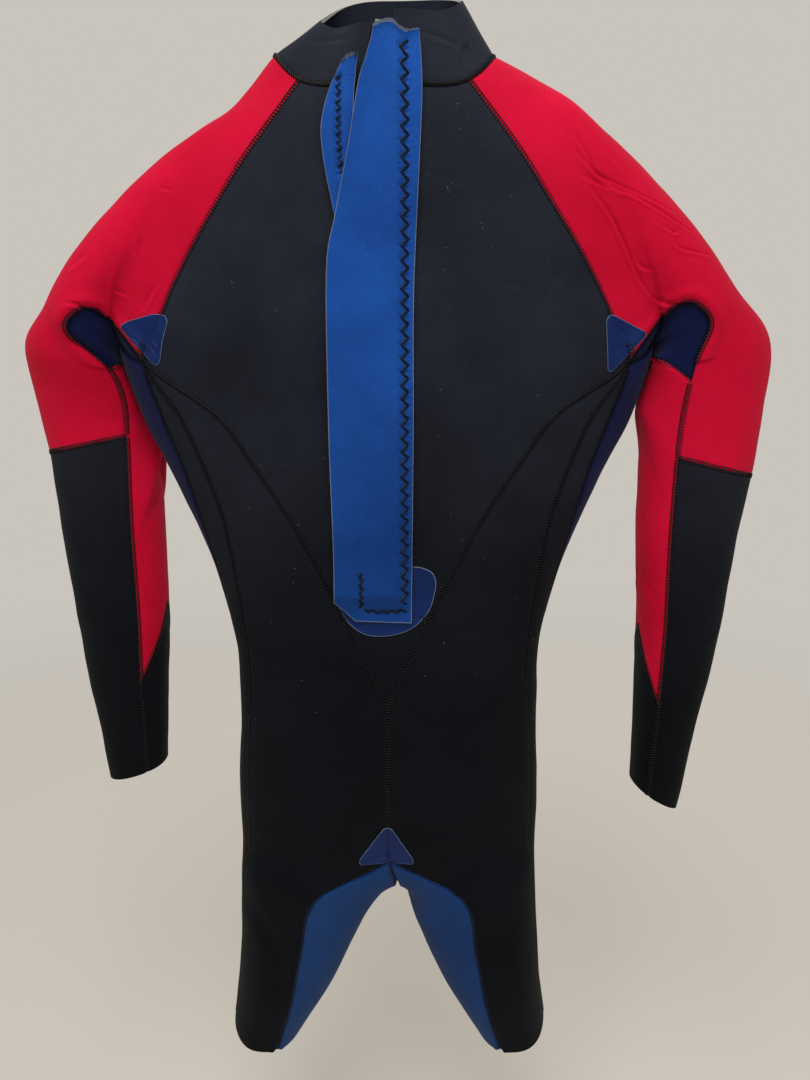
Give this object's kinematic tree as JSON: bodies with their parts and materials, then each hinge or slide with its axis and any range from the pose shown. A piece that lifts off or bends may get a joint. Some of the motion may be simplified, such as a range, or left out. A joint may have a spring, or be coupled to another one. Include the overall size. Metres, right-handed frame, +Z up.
{
  "type": "full wetsuit",
  "caption": "Long-sleeved neoprene wetsuit with short legs and a back zip, hung up inside out: panels joined by flat seams, stand-up collar, fold-over zip flap and glued patches.",
  "frame": {"origin": "the hanger point: the middle of the neck, level with the seam between the collar and the back", "axes": "+Z up along the hanging suit, -Y towards the side with the zip, +X towards the sleeve on the right as seen from the zip side"},
  "size_m": [0.731, 0.1588, 1.0846],
  "materials": {
    "armpit_patch_left": "smooth glued blue film, slight sheen",
    "armpit_patch_right": "smooth glued blue film, slight sheen",
    "back_lower_left": "black knit jersey bonded to foam, matte",
    "back_lower_right": "black knit jersey bonded to foam, matte",
    "back_upper_left": "black knit jersey bonded to foam, matte",
    "back_upper_right": "black knit jersey bonded to foam, matte",
    "collar": "black knit jersey bonded to foam, matte",
    "crotch_patch": "smooth glued blue film, slight sheen",
    "forearm_left": "black knit jersey bonded to foam, matte",
    "forearm_right": "black knit jersey bonded to foam, matte",
    "front_chest": "black knit jersey bonded to foam, matte",
    "front_lower_left": "black knit jersey bonded to foam, matte",
    "front_lower_right": "black knit jersey bonded to foam, matte",
    "gusset_left": "navy knit jersey bonded to foam, matte",
    "gusset_right": "navy knit jersey bonded to foam, matte",
    "inner_leg_left": "mid-blue knit jersey bonded to foam, matte",
    "inner_leg_right": "mid-blue knit jersey bonded to foam, matte",
    "pull_tab": "dull grey metal",
    "shoulder_left": "red knit jersey bonded to foam, matte",
    "shoulder_right": "red knit jersey bonded to foam, matte",
    "side_panel_left": "navy knit jersey bonded to foam, matte",
    "side_panel_right": "navy knit jersey bonded to foam, matte",
    "side_strip_left": "black knit jersey bonded to foam, matte",
    "side_strip_right": "black knit jersey bonded to foam, matte",
    "under_sleeve_left": "red knit jersey bonded to foam, matte",
    "under_sleeve_right": "red knit jersey bonded to foam, matte",
    "upper_arm_left": "red knit jersey bonded to foam, matte",
    "upper_arm_right": "red knit jersey bonded to foam, matte",
    "wrist_left": "black knit jersey bonded to foam, matte",
    "wrist_right": "black knit jersey bonded to foam, matte",
    "zip_base_patch": "smooth glued blue film, slight sheen",
    "zip_bottom_box": "black moulded plastic",
    "zip_gore": "black knit jersey bonded to foam, matte",
    "zip_guard": "bright blue knit jersey bonded to foam, matte",
    "zip_slider": "dull grey metal",
    "zip_stop_left": "black moulded plastic",
    "zip_stop_right": "black moulded plastic",
    "zip_tape_left": "black woven tape",
    "zip_tape_right": "black woven tape",
    "zip_teeth_left": "black moulded plastic",
    "zip_teeth_right": "black moulded plastic",
    "zip_underlap_base": "bright blue knit jersey bonded to foam, matte",
    "zip_underlap_leaf": "bright blue knit jersey bonded to foam, matte"
  },
  "bodies": {
    "suit": {"armpit_patch_left": "armpit_patch_left", "armpit_patch_right": "armpit_patch_right", "back_lower_left": "back_lower_left", "back_lower_right": "back_lower_right", "back_upper_left": "back_upper_left", "back_upper_right": "back_upper_right", "collar": "collar", "crotch_patch": "crotch_patch", "front_chest": "front_chest", "front_lower_left": "front_lower_left", "front_lower_right": "front_lower_right", "gusset_left": "gusset_left", "gusset_right": "gusset_right", "inner_leg_left": "inner_leg_left", "inner_leg_right": "inner_leg_right", "shoulder_left": "shoulder_left", "shoulder_right": "shoulder_right", "side_panel_left": "side_panel_left", "side_panel_right": "side_panel_right", "side_strip_left": "side_strip_left", "side_strip_right": "side_strip_right", "zip_base_patch": "zip_base_patch", "zip_bottom_box": "zip_bottom_box", "zip_gore": "zip_gore", "zip_guard": "zip_guard", "zip_stop_left": "zip_stop_left", "zip_stop_right": "zip_stop_right", "zip_tape_left": "zip_tape_left", "zip_tape_right": "zip_tape_right", "zip_teeth_left": "zip_teeth_left", "zip_teeth_right": "zip_teeth_right", "zip_underlap_base": "zip_underlap_base"},
    "sleeve_left": {"forearm_left": "forearm_left", "under_sleeve_left": "under_sleeve_left", "upper_arm_left": "upper_arm_left", "wrist_left": "wrist_left"},
    "sleeve_right": {"forearm_right": "forearm_right", "under_sleeve_right": "under_sleeve_right", "upper_arm_right": "upper_arm_right", "wrist_right": "wrist_right"},
    "underlap": {"zip_underlap_leaf": "zip_underlap_leaf"},
    "slider": {"zip_slider": "zip_slider"},
    "pull": {"pull_tab": "pull_tab"}
  },
  "joints": [
    {"name": "sleeve_left_swing", "type": "hinge", "parent": "suit", "child": "sleeve_left", "pos_m": [-0.354, 0.01, -0.214], "axis": [0, 1, 0], "range_deg": [0, 25]},
    {"name": "sleeve_right_swing", "type": "hinge", "parent": "suit", "child": "sleeve_right", "pos_m": [0.372, 0, -0.212], "axis": [0, -1, 0], "range_deg": [0, 25]},
    {"name": "underlap_fold", "type": "hinge", "parent": "suit", "child": "underlap", "pos_m": [0.026, -0.0775, 0.035], "axis": [0.1562, 0, 0.9877], "range_deg": [0, 100]},
    {"name": "zip_slide", "type": "slide", "parent": "suit", "child": "slider", "axis": [0, 0, 1], "range_m": [-0.265, 0.17]},
    {"name": "pull_swing", "type": "hinge", "parent": "slider", "child": "pull", "pos_m": [0, -0.05524, -0.153], "axis": [1, 0, 0], "range_deg": [0, 170]}
  ]
}
